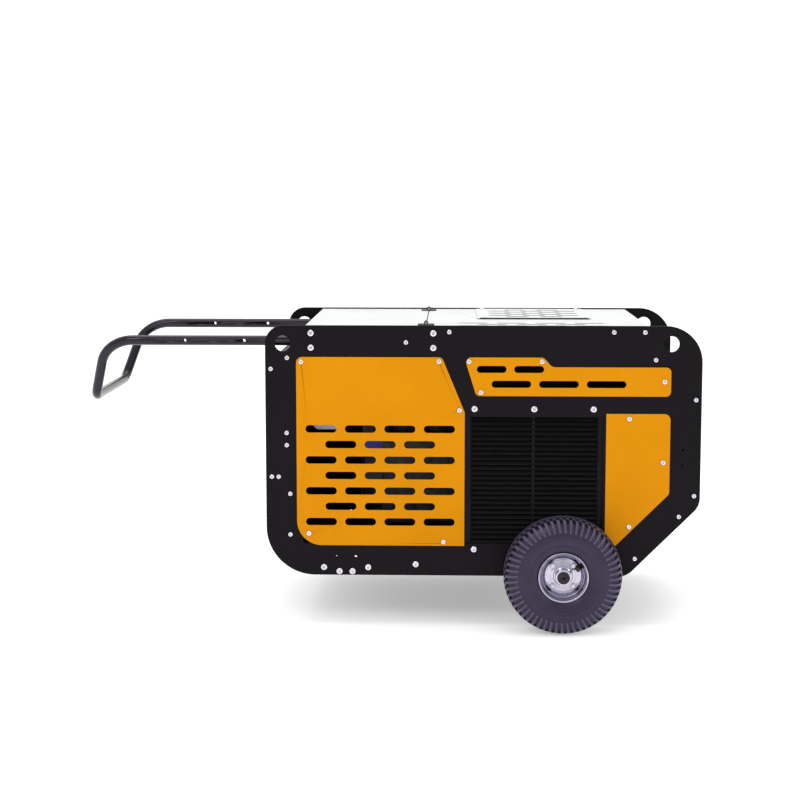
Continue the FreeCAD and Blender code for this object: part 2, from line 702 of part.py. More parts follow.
WHEELS = {"front": -OUTER - WHEEL_OFFSET, "rear": OUTER + WHEEL_OFFSET}
for side_name, wheel_y in WHEELS.items():
    save("tyre_" + side_name, [tyre(wheel_y)])
    save("rim_" + side_name, [rim(wheel_y)])
    save("wheel_bearings_" + side_name, wheel_bearings(wheel_y))

axle = rod_y(-AXLE_END, AXLE_END, AXLE_X, AXLE_Z, AXLE_RADIUS)
for end in (-AXLE_END - 1, AXLE_END - 7):
    axle = axle.cut(rod_y(end, end + 8, AXLE_X, AXLE_Z, 4))
save("axle", [axle])
save("axle_collars", axle_collars())


# ---------------------------------------------------------------- engine
def crankcase():
    x0, x1 = ENGINE_X
    case = profile_yz(rectangle(-95, 95, MOUNT_TOP, 285, 18), x0, x1)
    case = case.cut(profile_yz(rectangle(-83, 83, MOUNT_TOP + 12, 270, 10), x0 + 14, x1 - 14))
    parts = [case]
    for x in (280, 320, 360, 400):
        parts.append(box(x - 2, x + 2, -101, -94, MOUNT_TOP + 25, 260))
        parts.append(box(x - 2, x + 2, 94, 101, MOUNT_TOP + 25, 260))
    return fuse(parts).cut(rod_x(x0 - 1, x1 + 1, 0, SHAFT_Z, MAIN_BEARING_RADIUS))


def cylinder(x):
    """Cooled barrel on the crankcase, with round fins."""
    parts = [rod_z(285, HEAD_Z[0], x, 0, 34)]
    for i in range(7):
        parts.append(rod_z(289 + 8.2 * i, 292 + 8.2 * i, x, 0, 39))
    return fuse(parts)


def cylinder_head(x):
    """Head with cooling grooves along both sides."""
    head = profile_xy(rectangle(x - 37, x + 37, -55, 55, 8), *HEAD_Z)
    grooves = [box(x - 40, x + 40, side * 49 - 8, side * 49 + 8, HEAD_Z[0] + up, HEAD_Z[0] + up + 4)
               for up in (5, 13, 21) for side in (-1, 1)]
    return head.cut(Part.makeCompound(grooves))


def blower_housing():
    """Round cooling shroud with an open eye, bolted to the crankcase's free end."""
    x1 = ENGINE_X[0]
    drum = rod_x(x1 - 50, x1, 0, SHAFT_Z, BLOWER_RADIUS)
    edges = [edge for edge in drum.Edges if edge.BoundBox.XMax < x1 - 49]
    drum = drum.makeFillet(14, edges)
    hollow = rod_x(x1 - 46, x1 - 4, 0, SHAFT_Z, BLOWER_RADIUS - 6)
    eye = rod_x(x1 - 51, x1 - 40, 0, SHAFT_Z, 72)
    back = rod_x(x1 - 5, x1 + 1, 0, SHAFT_Z, 40)
    return drum.cut(Part.makeCompound([hollow, eye, back]))


def flywheel_fan():
    """Flywheel disc with twelve straight fan blades on its free face."""
    x = ENGINE_X[0] - 14
    disc = rod_x(x - 6, x, 0, SHAFT_Z, FAN_RADIUS)
    hub = rod_x(x - 20, x, 0, SHAFT_Z, 30)
    parts = [disc, hub]
    for i in range(12):
        blade = box(x - 24, x - 5, -1.5, 1.5, SHAFT_Z + 62, SHAFT_Z + FAN_RADIUS - 3)
        blade.rotate(Vector(x, 0, SHAFT_Z), Vector(1, 0, 0), 30 * i)
        parts.append(blade)
    return fuse(parts).cut(rod_x(x - 30, x + 1, 0, SHAFT_Z, SHAFT_RADIUS))


def alternator_housing():
    """Ribbed drum around the rotor, with two feet."""
    x0, x1 = ENGINE_X[1], ALTERNATOR_END
    parts = [rod_x(x0, x1, 0, SHAFT_Z, ALTERNATOR_RADIUS)]
    for i in range(18):
        rib = box(x0 + 30, x1 - 30, -2, 2, SHAFT_Z + ALTERNATOR_RADIUS - 3, SHAFT_Z + ALTERNATOR_RADIUS + 5)
        rib.rotate(Vector(0, 0, SHAFT_Z), Vector(1, 0, 0), 20 * i)
        parts.append(rib)
    parts += both_sides(box(575, 625, -80, -40, MOUNT_TOP, SHAFT_Z - 80))
    hollow = rod_x(x0 + 10, x1 - 10, 0, SHAFT_Z, ALTERNATOR_RADIUS - 10)
    bore = rod_x(x0 - 1, x1 + 1, 0, SHAFT_Z, MAIN_BEARING_RADIUS)
    return fuse(parts).cut(hollow).cut(bore)


def shaft_bearings():
    """Two crankcase bearings and one in the alternator's end wall."""
    spans = [
        (ENGINE_X[0], ENGINE_X[0] + 14),
        (ENGINE_X[1] - 14, ENGINE_X[1]),
        (ALTERNATOR_END - 10, ALTERNATOR_END),
    ]
    rings = []
    for x0, x1 in spans:
        bore = rod_x(x0 - 1, x1 + 1, 0, SHAFT_Z, SHAFT_RADIUS + RUNNING_GAP)
        rings.append(rod_x(x0, x1, 0, SHAFT_Z, MAIN_BEARING_RADIUS).cut(bore))
    return rings


def crankshaft():
    """Main shaft with two round webs at each cylinder."""
    parts = [rod_x(ENGINE_X[0] - 40, ALTERNATOR_END + 4, 0, SHAFT_Z, SHAFT_RADIUS)]
    for x in CYLINDER_X:
        parts.append(rod_x(x - 26, x - 14, 0, SHAFT_Z, 52))
        parts.append(rod_x(x + 14, x + 26, 0, SHAFT_Z, 52))
    return fuse(parts)


save("crankcase", [crankcase()])
save("cylinders", [cylinder(x) for x in CYLINDER_X])
save("cylinder_heads", [cylinder_head(x) for x in CYLINDER_X])
save("blower_housing", [blower_housing()])
save("flywheel_fan", [flywheel_fan()])
save("alternator_housing", [alternator_housing()])
save("shaft_bearings", shaft_bearings())
save("crankshaft", [crankshaft()])
save("rotor", [rod_x(480, 640, 0, SHAFT_Z, 78).cut(rod_x(479, 641, 0, SHAFT_Z, SHAFT_RADIUS))])
save("engine_mounts", [rod_z(PAN_Z + PAN_SHEET, MOUNT_TOP, x, y, 18)
                       for x, y in ((270, 70), (270, -70), (410, 70), (410, -70), (600, 60), (600, -60))])


# ---------------------------------------------------------------- exhaust, intake, fuel, battery
def rounded_block(x0, x1, y0, y1, z0, z1, radius):
    block = box(x0, x1, y0, y1, z0, z1)
    return block.makeFillet(radius, block.Edges)


def exhaust_pipes():
    """One pipe from each head, joined and led up into the muffler."""
    far, near = CYLINDER_X
    run = [
        Vector(far, 55, PORT_Z), Vector(far, 120, PORT_Z), Vector(430, 120, PORT_Z),
        Vector(430, 120, 430), Vector(470, 120, 430),
    ]
    long_pipe = tube(run, [0, 28, 28, 24, 0], 11, 9)
    short_pipe = rod_y(55, 118, near, PORT_Z, 10).cut(rod_y(54, 118, near, PORT_Z, 8))
    return fuse([long_pipe, short_pipe])


def air_cleaner():
    """Round filter can above an elbow into the nearer head."""
    can = rod_z(395, 488, 400, -135, 60)
    can = can.makeFillet(8, [edge for edge in can.Edges if edge.BoundBox.ZLength < 1e-3])
    near = CYLINDER_X[1]
    elbow = [rod_y(-152, -55, near, PORT_Z, 16), rod_z(PORT_Z, 396, near, -134, 13)]
    return fuse([can] + elbow)


TANK_TOP = 500.0
TANK_WALL = 4.0
NECK_X = 210.0
NECK_BORE = 27.0


def fuel_tank():
    """Blow-moulded tank with a deeper sump at its handle end."""
    def body(inset):
        main = rounded_block(98 + inset, 330 - inset, -222 + inset, 222 - inset,
                             388 + inset, TANK_TOP - inset, 14)
        sump = rounded_block(98 + inset, 168 - inset, -222 + inset, 222 - inset, 316 + inset, 440 - inset, 14)
        return fuse([main, sump])
    return body(0).cut(body(TANK_WALL)).cut(rod_z(TANK_TOP - 10, TANK_TOP + 1, NECK_X, 0, NECK_BORE))


def filler_neck():
    """Neck ring welded onto the tank's top, around the filling hole."""
    ring = rod_z(TANK_TOP, TANK_TOP + 16, NECK_X, 0, NECK_BORE + 5)
    return ring.cut(rod_z(TANK_TOP - 1, TANK_TOP + 17, NECK_X, 0, NECK_BORE))


def fuel_cap():
    cap = rod_z(TANK_TOP + 1, TANK_TOP + 32, NECK_X, 0, 40)
    low, high = TANK_TOP, TANK_TOP + 33
    grips = []
    for i in range(16):
        angle = math.radians(22.5 * i)
        grips.append(rod_z(low, high, NECK_X + 42 * math.cos(angle), 42 * math.sin(angle), 4.5))
    inside = rod_z(low, TANK_TOP + 24, NECK_X, 0, NECK_BORE + 5.6)
    return cap.cut(Part.makeCompound(grips)).cut(inside)


BATTERY_X = (703.0, 824.0)
BATTERY_HALF = 90.0


def battery():
    """Battery with two posts, standing in a tray."""
    x0, x1 = BATTERY_X
    half = BATTERY_HALF
    case = profile_xy(rectangle(x0, x1, -half, half, 6), 48, 228)
    posts = [rod_z(228, 243, x0 + 19, y, 8) for y in (-65, 65)]
    tray = box(x0 - 5, x1 + 5, -half - 5, half + 5, PAN_Z + PAN_SHEET, 60)
    well = box(x0, x1, -half, half, 48, 61)
    return [fuse([case] + posts), tray.cut(well)]


save("muffler", [rounded_block(470, 722, -40, 228, 382, 500, 26)])
save("exhaust_pipes", [exhaust_pipes()])
save("air_cleaner", [air_cleaner()])
save("fuel_tank", [fuel_tank()])
save("filler_neck", [filler_neck()])
save("fuel_cap", [fuel_cap()])
save("battery", battery())


# ---------------------------------------------------------------- control panel
ESTOP = (150.0, 425.0)
KEY = (95.0, 425.0)
BREAKER = (-130.0, 420.0)


def control_panel():
    """Sheet behind the end cover's window, with the cut-outs and the splash door's two lugs."""
    panel = profile_yz(rectangle(-PANEL_HALF, PANEL_HALF, *PANEL_Z, 8), PANEL_X, PANEL_X + 3)
    hinge_z = (SPLASH_PIVOT_Z - 4, SPLASH_PIVOT_Z + 4)
    lugs = [box(PANEL_X - 13, PANEL_X, y, y + 8, *hinge_z) for y in (-214, 206)]
    low, high = PANEL_X - 1, PANEL_X + 4
    cuts = [box(low, high, -METER_HALF, METER_HALF, 404, 444)]
    cuts += [box(low, high, BREAKER[0] - 35, BREAKER[0] + 35, 398, 444)]
    cuts += [box(low, high, *square(y, SOCKET_Z, SOCKET_HALF)) for y in SOCKET_Y]
    cuts += [rod_x(low, high, *ESTOP, 11), rod_x(low, high, *KEY, 9)]
    cuts += [rod_y(-215, 215, SPLASH_PIVOT_X, SPLASH_PIVOT_Z, SPLASH_PIN_RADIUS + RUNNING_GAP)]
    return fuse([panel] + lugs).cut(Part.makeCompound(cuts))


def square(y, z, half):
    """Bounds (y0, y1, z0, z1) of a square about (y, z)."""
    return y - half, y + half, z - half, z + half


def instruments():
    """The meter, and the breaker's body with a slot for its lever."""
    back, front = PANEL_X, PANEL_X - 5
    meter_face = profile_yz(rectangle(-METER_HALF - 5, METER_HALF + 5, 399, 449, 4), front, back)
    meter = fuse([meter_face, box(back, back + 32, -METER_HALF, METER_HALF, 404, 444)])
    window = profile_yz(rectangle(-44, 44, 408, 440, 2), front - 1, front + 1.5)
    y, z = BREAKER
    breaker_face = profile_yz(rectangle(y - 40, y + 40, 393, 449, 4), front, back)
    body = fuse([breaker_face, box(back, back + 40, y - 35, y + 35, 398, 444)])
    slot = box(front - 1, back + 14, y - 9, y + 9, z - 14, z + 14)
    return [meter.cut(window), body.cut(slot)]


def breaker_lever():
    """Tapered toggle with a round root that turns in the breaker's slot."""
    y, z = BREAKER
    tip, root = PANEL_X - 16, PANEL_X + 4
    corners = [(tip, z - 4, 2), (root, z - 5, 2), (root, z + 5, 2), (tip, z + 4, 2)]
    lever = profile_xz(corners, y - 8, y + 8)
    return fuse([lever, rod_y(y - 8, y + 8, PANEL_X + 2, z, 6)])


def socket(y):
    """Panel socket: square flange, square well with rounded corners and three pin holes."""
    flange = profile_yz(rectangle(*square(y, SOCKET_Z, 38), 6), PANEL_X - 4, PANEL_X)
    body = box(PANEL_X, PANEL_X + 34, *square(y, SOCKET_Z, SOCKET_HALF))
    well = profile_yz(rectangle(*square(y, SOCKET_Z, WELL_HALF), 4), PANEL_X - 5, PANEL_X + 14)
    pins = []
    for angle in (90, 210, 330):
        turn = math.radians(angle)
        across, up = y + 9 * math.cos(turn), SOCKET_Z + 9 * math.sin(turn)
        pins.append(rod_x(PANEL_X + 13, PANEL_X + 28, across, up, 2.6))
    return fuse([flange, body]).cut(Part.makeCompound([well] + pins))


def socket_cover():
    """Splash door over the sockets, hung on two end pins."""
    outside, inside = SPLASH_PIVOT_X - 3, SPLASH_PIVOT_X - 0.5
    door = profile_yz(rectangle(-200, 200, 243, 338, 5), outside, inside)
    rail = rod_y(-205.5, 205.5, SPLASH_PIVOT_X, SPLASH_PIVOT_Z, 4)
    web = box(outside, SPLASH_PIVOT_X, -200, 200, 330, 340)
    pin = rod_y(-213, 213, SPLASH_PIVOT_X, SPLASH_PIVOT_Z, SPLASH_PIN_RADIUS)
    lift = box(outside - 5, inside, -40, 40, 243, 247)
    return fuse([door, rail, web, pin, lift])


def key_switch():
    """Lock barrel with the key's bow in it."""
    barrel = rod_x(PANEL_X - 8, PANEL_X + 30, *KEY, 8.9)
    blade = box(PANEL_X - 24, PANEL_X - 7, KEY[0] - 1.2, KEY[0] + 1.2, KEY[1] - 9, KEY[1] + 9)
    return fuse([barrel, blade])


def emergency_stop():
    """Mushroom button on its stem."""
    stem = rod_x(PANEL_X - 12, PANEL_X + 24, *ESTOP, 10.7)
    mushroom = rod_x(PANEL_X - 25, PANEL_X - 12, *ESTOP, 20)
    crown = [edge for edge in mushroom.Edges if edge.BoundBox.XMax < PANEL_X - 24.9]
    return fuse([stem, mushroom.makeFillet(5, crown)])


save("control_panel", [control_panel()])
save("instruments", instruments())
save("breaker_lever", [breaker_lever()])
save("sockets", [socket(y) for y in SOCKET_Y])
save("socket_cover", [socket_cover()])
save("key_switch", [key_switch()])
save("emergency_stop", [emergency_stop()])


# ---------------------------------------------------------------- fastener nodes
def hatch_screws():
    screws_up = []
    for x, y in HATCH_SCREWS:
        screw = button_head(M6)
        screw.rotate(Vector(0, 0, 0), Vector(1, 0, 0), -90)
        screw.translate(Vector(x, y, COVER_TOP + SHEET))
        screws_up.append(screw)
    return screws_up


near_m8 = screws(M8, M8_PLACES, -OUTER)
near_m6 = screws(M6, M6_PLACES, -OUTER)
near_panel = screws(PANEL_SCREW, PANEL_PLACES, -OUTER - PANEL_SHEET)
save("bolts_m8", near_m8 + [other_side(screw) for screw in near_m8])
save("bolts_m6", near_m6 + [other_side(screw) for screw in near_m6])
save("panel_screws", near_panel + [other_side(screw) for screw in near_panel] + hatch_screws())
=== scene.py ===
"""Looks of the portable generator: materials, detailed wheels, small fittings, light and camera."""

import json
import math

import bmesh
import bpy
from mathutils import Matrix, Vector


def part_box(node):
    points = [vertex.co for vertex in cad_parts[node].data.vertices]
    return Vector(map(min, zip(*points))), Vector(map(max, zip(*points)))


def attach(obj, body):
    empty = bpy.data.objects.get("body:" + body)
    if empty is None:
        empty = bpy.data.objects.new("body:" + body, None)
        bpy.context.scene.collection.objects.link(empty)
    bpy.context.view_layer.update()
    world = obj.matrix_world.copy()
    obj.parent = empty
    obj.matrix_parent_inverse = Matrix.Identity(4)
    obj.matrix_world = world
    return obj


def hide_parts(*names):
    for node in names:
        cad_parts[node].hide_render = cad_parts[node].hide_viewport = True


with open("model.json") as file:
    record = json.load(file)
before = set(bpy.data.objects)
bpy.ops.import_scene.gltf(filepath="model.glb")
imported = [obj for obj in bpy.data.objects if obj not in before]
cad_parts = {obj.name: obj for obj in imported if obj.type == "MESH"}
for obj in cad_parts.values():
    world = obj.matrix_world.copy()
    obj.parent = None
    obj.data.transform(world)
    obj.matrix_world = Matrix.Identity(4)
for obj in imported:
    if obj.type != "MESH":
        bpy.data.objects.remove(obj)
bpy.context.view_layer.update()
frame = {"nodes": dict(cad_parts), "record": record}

MM = 0.001


def middle(node):
    """Centre of a node's box."""
    low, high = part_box(node)
    return (low + high) / 2


# ---------------------------------------------------------------- materials
class Paint:
    """A node material around one Principled shader, in the object's own coordinates."""

    def __init__(self, name, color, roughness, metallic=0.0, **settings):
        self.material = bpy.data.materials.new(name)
        self.material.use_nodes = True
        self.tree = self.material.node_tree
        self.shader = self.tree.nodes["Principled BSDF"]
        self.place = self.tree.nodes.new("ShaderNodeTexCoord").outputs["Object"]
        self.color = color
        self.set("Base Color", (*color, 1))
        self.set("Roughness", roughness)
        self.set("Metallic", metallic)
        for socket, value in settings.items():
            self.set(socket.replace("_", " "), value)
        self.normal = None

    def set(self, socket, value):
        """Set one of the shader's own sockets."""
        self.shader.inputs[socket].default_value = value

    def add(self, kind, **values):
        """New shader node; each value goes to the node's property or, failing that, its socket."""
        node = self.tree.nodes.new("ShaderNode" + kind)
        for key, value in values.items():
            if hasattr(node, key):
                setattr(node, key, value)
            else:
                node.inputs[key].default_value = value
        return node

    def link(self, output, target):
        self.tree.links.new(output, target)

    def stretched(self, scale):
        """Object coordinates scaled along each axis."""
        mapping = self.add("Mapping")
        mapping.inputs["Scale"].default_value = scale
        self.link(self.place, mapping.inputs["Vector"])
        return mapping.outputs["Vector"]

    def noise(self, scale, detail=3.0, stretch=None):
        """Noise from 0 to 1, with scale cells to a metre."""
        node = self.add("TexNoise", Scale=scale, Detail=detail)
        self.link(self.stretched(stretch) if stretch else self.place, node.inputs["Vector"])
        return node.outputs["Fac"]

    def ramp(self, value, low, high):
        """Value stretched so that low becomes 0 and high becomes 1."""
        node = self.add("MapRange", clamp=True)
        node.inputs["From Min"].default_value = low
        node.inputs["From Max"].default_value = high
        self.link(value, node.inputs["Value"])
        return node.outputs["Result"]

    def tint(self, mask, color, strength=1.0):
        """Mix another colour in where the mask is white."""
        mix = self.add("Mix", data_type="RGBA")
        mix.clamp_factor = True
        scale = self.add("Math", operation="MULTIPLY")
        scale.inputs[1].default_value = strength
        self.link(mask, scale.inputs[0])
        self.link(scale.outputs[0], mix.inputs["Factor"])
        socket = self.shader.inputs["Base Color"]
        if socket.is_linked:
            self.link(socket.links[0].from_socket, mix.inputs["A"])
        else:
            mix.inputs["A"].default_value = (*self.color, 1)
        mix.inputs["B"].default_value = (*color, 1)
        self.link(mix.outputs["Result"], socket)
        return self

    def gloss(self, mask, low, high):
        """Roughness from low, where the mask is black, to high."""
        node = self.add("MapRange", clamp=True)
        node.inputs["To Min"].default_value = low
        node.inputs["To Max"].default_value = high
        self.link(mask, node.inputs["Value"])
        self.link(node.outputs["Result"], self.shader.inputs["Roughness"])
        return self

    def bump(self, height, strength, distance):
        """Raise the surface by the height, on top of any bump added before."""
        node = self.add("Bump", Strength=strength, Distance=distance)
        self.link(height, node.inputs["Height"])
        if self.normal is not None:
            self.link(self.normal, node.inputs["Normal"])
        self.normal = node.outputs["Normal"]
        self.link(self.normal, self.shader.inputs["Normal"])
        return self

    def edge_mask(self, radius):
        """White along sharp edges, where a rounded normal leaves the true one."""
        bevel = self.add("Bevel", Radius=radius)
        bevel.samples = 4
        geometry = self.add("NewGeometry")
        dot = self.add("VectorMath", operation="DOT_PRODUCT")
        self.link(bevel.outputs["Normal"], dot.inputs[0])
        self.link(geometry.outputs["Normal"], dot.inputs[1])
        return self.ramp(self.inverted(dot.outputs["Value"]), 0.02, 0.3)

    def ridge_highlight_mask(self, low, high):
        """White on convex places of a dense mesh, black in its grooves: a mask for painted highlight."""
        return self.ramp(self.add("NewGeometry").outputs["Pointiness"], low, high)

    def shade_in_hollows(self, reach):
        """White deep inside recesses no wider than the reach: a mask for painted shade."""
        cavity = self.add("AmbientOcclusion", Distance=reach)
        cavity.samples = 6
        cavity.only_local = True
        return self.ramp(self.inverted(cavity.outputs["AO"]), 0.35, 0.75)

    def inverted(self, value):
        node = self.add("Math", operation="SUBTRACT")
        node.inputs[0].default_value = 1.0
        self.link(value, node.inputs[1])
        return node.outputs[0]

    def times(self, one, other):
        node = self.add("Math", operation="MULTIPLY")
        self.link(one, node.inputs[0])
        self.link(other, node.inputs[1])
        return node.outputs[0]


def powder_coat(name, color, roughness, dust, peel=1.0, shine=0.5):
    """Sprayed and baked coat: fine orange peel, faint cloudiness, a little bare wear at the edges."""
    paint = Paint(name, color, roughness, Specular_IOR_Level=shine)
    cloud = paint.ramp(paint.noise(5.0, 4.0), 0.35, 0.7)
    paint.tint(cloud, [c * 0.86 for c in color], 0.7)
    specks = paint.ramp(paint.noise(260.0, 2.0), 0.70, 0.80)
    paint.tint(specks, dust, 0.16)
    worn = paint.times(paint.edge_mask(0.0011), paint.ramp(paint.noise(55.0, 5.0), 0.50, 0.66))
    paint.tint(worn, dust, 0.55)
    paint.gloss(paint.noise(38.0, 4.0), roughness - 0.06, roughness + 0.10)
    paint.bump(paint.noise(850.0, 1.5), 0.10 * peel, 0.0006)
    return paint.material


COVER_TONE = (0.66, 0.68, 0.665)


def slotted_cover_wall_shade():
    """The covers' paint, with painted shade on every upright face: the slot walls and the sheet's edges go
    near black.
    """
    paint = Paint("slotted_cover_wall_shade", COVER_TONE, 0.34, Specular_IOR_Level=0.4)
    paint.tint(paint.ramp(paint.noise(5.0, 4.0), 0.35, 0.7), [c * 0.86 for c in COVER_TONE], 0.7)
    upright = paint.add("VectorMath", operation="ABSOLUTE")
    paint.link(paint.add("TexCoord").outputs["Normal"], upright.inputs[0])
    split = paint.add("SeparateXYZ")
    paint.link(upright.outputs["Vector"], split.inputs["Vector"])
    # Painted shade: faces that stand upright, such as the slot walls, are tinted near black.
    paint.tint(paint.ramp(paint.inverted(split.outputs["Z"]), 0.5, 0.9), (0.06, 0.06, 0.065), 0.95)
    paint.gloss(paint.noise(38.0, 4.0), 0.28, 0.44)
    paint.bump(paint.noise(850.0, 1.5), 0.10, 0.0006)
    return paint.material


def handle_coat():
    """Wet-looking black enamel over bent tube, with faint uneven streaks."""
    paint = Paint("handle_enamel", (0.0035, 0.0022, 0.0045), 0.2, Specular_IOR_Level=0.42,
                  Specular_Tint=(0.90, 0.80, 1.0, 1.0))
    streak = paint.noise(60.0, 3.0, (0.3, 1.0, 1.0))
    paint.tint(paint.ramp(streak, 0.55, 0.75), (0.008, 0.006, 0.010), 0.5)
    paint.gloss(streak, 0.13, 0.20)
    paint.bump(paint.noise(500.0, 2.0), 0.02, 0.0003)
    return paint.material


def zinc(name, tone, roughness, shade_reach=0.0):
    """Bright zinc plate: cloudy, with a bluish cast; painted shade darkens recesses up to the given width.
    """
    paint = Paint(name, tone, roughness, 1.0)
    paint.tint(paint.ramp(paint.noise(45.0, 4.0), 0.45, 0.70), [c * 0.82 for c in tone], 0.6)
    paint.tint(paint.ramp(paint.noise(18.0), 0.50, 0.72), (tone[0] * 0.90, tone[1] * 0.88, tone[2]), 0.5)
    if shade_reach:
        # Painted shade: recesses are tinted near black.
        paint.tint(paint.shade_in_hollows(shade_reach), (0.012, 0.011, 0.014), 0.9)
    paint.gloss(paint.noise(40.0, 4.0), roughness - 0.05, roughness + 0.07)
    return paint.material


def black_oxide():
    """Oiled black oxide over turned steel: dark, with small lighter patches."""
    paint = Paint("black_oxide", (0.022, 0.020, 0.024), 0.34, 0.8)
    paint.tint(paint.ramp(paint.noise(160.0, 4.0), 0.55, 0.75), (0.09, 0.085, 0.10), 0.6)
    paint.gloss(paint.noise(90.0, 3.0), 0.28, 0.46)
    return paint.material


def steel(name, tone, roughness):
    """Ground steel: fine lines along the part and faint oil stains."""
    paint = Paint(name, tone, roughness, 1.0)
    lines = paint.noise(500.0, 2.0, (0.04, 1.0, 1.0))
    paint.tint(paint.ramp(paint.noise(40.0, 5.0), 0.55, 0.75), (0.20, 0.17, 0.14), 0.5)
    paint.gloss(lines, roughness - 0.05, roughness + 0.15)
    paint.bump(lines, 0.06, 0.0003)
    return paint.material


def cast_aluminium():
    """Sand-cast metal with its tone darkened as painted shade inside the case."""
    # Painted shade: a near-black tone for metal that is seen only inside the shaded case.
    paint = Paint("cast_aluminium", (0.075, 0.075, 0.080), 0.5, 1.0)
    grain = paint.noise(900.0, 3.0)
    paint.tint(paint.ramp(paint.noise(30.0, 5.0), 0.5, 0.75), (0.16, 0.155, 0.15), 0.5)
    paint.gloss(grain, 0.42, 0.66)
    paint.bump(grain, 0.35, 0.0006)
    return paint.material


def moulded_paint(name, color, roughness, grain=1.0, **settings):
    """Moulded plastic: spark-eroded grain, slight cloudiness and scuffs."""
    paint = Paint(name, color, roughness, **settings)
    paint.tint(paint.ramp(paint.noise(14.0, 4.0), 0.4, 0.7), [c * 0.82 + 0.004 for c in color], 0.5)
    scuffs = paint.ramp(paint.noise(120.0, 5.0, (0.2, 1.0, 1.0)), 0.66, 0.74)
    paint.tint(scuffs, [c * 0.5 + 0.12 for c in color], 0.22)
    paint.gloss(paint.noise(300.0, 3.0), roughness - 0.06, roughness + 0.12)
    paint.bump(paint.noise(1400.0, 2.0), 0.18 * grain, 0.0004)
    return paint


def moulded(*look, **settings):
    """Material of moulded_paint alone."""
    return moulded_paint(*look, **settings).material


def blower_shroud():
    """Black cooling shroud with a blue band across its upper part."""
    paint = moulded_paint("blower_shroud", (0.012, 0.012, 0.016), 0.32)
    split = paint.add("SeparateXYZ")
    paint.link(paint.place, split.inputs["Vector"])
    height = split.outputs["Z"]
    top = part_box("blower_housing")[1].z
    above = paint.ramp(height, top - 0.057, top - 0.056)
    below = paint.inverted(paint.ramp(height, top - 0.026, top - 0.025))
    return paint.tint(paint.times(above, below), (0.11, 0.12, 0.60)).material


def tyre_rubber():
    """Shiny new tyre rubber with a violet bloom: painted highlight on the lug edges, painted shade in the
    grooves, a little dust.
    """
    paint = Paint("tyre_rubber", (0.010, 0.006, 0.020), 0.34, Specular_IOR_Level=0.50,
                  Specular_Tint=(0.82, 0.74, 1.0, 1.0))
    paint.tint(paint.ramp(paint.noise(26.0, 5.0), 0.42, 0.68), (0.019, 0.011, 0.040), 0.7)
    # Painted highlight on the lug edges and tops.
    paint.tint(paint.ridge_highlight_mask(0.53, 0.60), (0.090, 0.078, 0.125), 0.65)
    paint.tint(paint.ramp(paint.noise(240.0, 4.0), 0.62, 0.74), (0.07, 0.06, 0.09), 0.16)
    # Painted shade in the grooves between the lugs.
    paint.tint(paint.shade_in_hollows(0.012), (0.002, 0.0015, 0.004), 0.85)
    paint.gloss(paint.noise(70.0, 4.0), 0.28, 0.44)
    paint.bump(paint.noise(600.0, 3.0), 0.10, 0.0005)
    return paint.material


def felt():
    """Matt near-black felt with slightly paler fibres; its darkness is painted shade behind the slots."""
    paint = Paint("felt", (0.004, 0.004, 0.004), 0.95, Specular_IOR_Level=0.1)
    fibres = paint.noise(900.0, 4.0)
    paint.tint(paint.ramp(fibres, 0.5, 0.8), (0.010, 0.010, 0.011), 0.7)
    paint.bump(fibres, 0.6, 0.001)
    return paint.material


MATERIALS = {
    "black_paint": powder_coat("black_coat", (0.0056, 0.0040, 0.0060), 0.42,
                               (0.10, 0.095, 0.105), shine=0.09),
    "grille_paint": powder_coat("grille_coat", (0.0050, 0.0042, 0.0052), 0.5,
                                (0.05, 0.05, 0.055), shine=0.12),
    "yellow_paint": powder_coat("amber_coat", (0.64, 0.242, 0.0012), 0.44, (0.50, 0.28, 0.09), 0.7, 0.05),
    "cover_paint": powder_coat("cover_coat", COVER_TONE, 0.34, (0.42, 0.42, 0.42), shine=0.4),
    "slotted_cover": slotted_cover_wall_shade(),
    "hinge_black": powder_coat("hinge_coat", (0.007, 0.006, 0.008), 0.42, (0.20, 0.20, 0.21), shine=0.15),
    "handle_gloss": handle_coat(),
    "tyre": tyre_rubber(),
    "rim_zinc": zinc("rim_zinc", (0.50, 0.48, 0.57), 0.17, 0.020),
    "fastener_zinc": zinc("fastener_zinc", (0.72, 0.70, 0.76), 0.20, 0.006),
    "black_oxide": black_oxide(),
    "steel": steel("ground_steel", (0.46, 0.46, 0.48), 0.30),
    "cast_aluminium": cast_aluminium(),
    "blower_blue": blower_shroud(),
    # The tank's faint glow is painted light, so that it reads pale inside the shaded case.
    "tank_white": moulded("tank_white", (0.72, 0.71, 0.84), 0.36, Subsurface_Weight=0.08,
                          Emission_Color=(0.62, 0.58, 0.84, 1.0), Emission_Strength=0.16),
    "black_rubber": moulded("soft_rubber", (0.012, 0.012, 0.013), 0.62, 1.6),
    "black_plastic": moulded("black_plastic", (0.014, 0.014, 0.016), 0.42),
    "panel_grey": moulded("panel_grey", (0.13, 0.135, 0.14), 0.38, 0.6),
    "socket_blue": moulded("socket_blue", (0.03, 0.10, 0.36), 0.34),
    "cover_grey": moulded("cover_grey", (0.20, 0.21, 0.23), 0.34),
    "key_zinc": zinc("key_chrome", (0.78, 0.78, 0.80), 0.16),
    "felt": felt(),
    "display": moulded("display", (0.55, 0.02, 0.01), 0.3, 0.4, Emission_Color=(1.0, 0.10, 0.04, 1.0),
                       Emission_Strength=0.8),
    "lamp": moulded("lamp", (0.10, 0.42, 0.12), 0.18, 0.3),
    "stop_red": moulded("stop_red", (0.50, 0.012, 0.01), 0.30, 0.5),
}


# ---------------------------------------------------------------- CAD nodes keep their shapes
SOFT_EDGES = {  # width of the rounding in millimetres
    "black_paint": 0.5, "yellow_paint": 0.35, "cover_paint": 0.35, "panel_grey": 0.4,
    "socket_blue": 0.8, "cover_grey": 0.6, "black_plastic": 0.6, "cast_aluminium": 0.5,
}


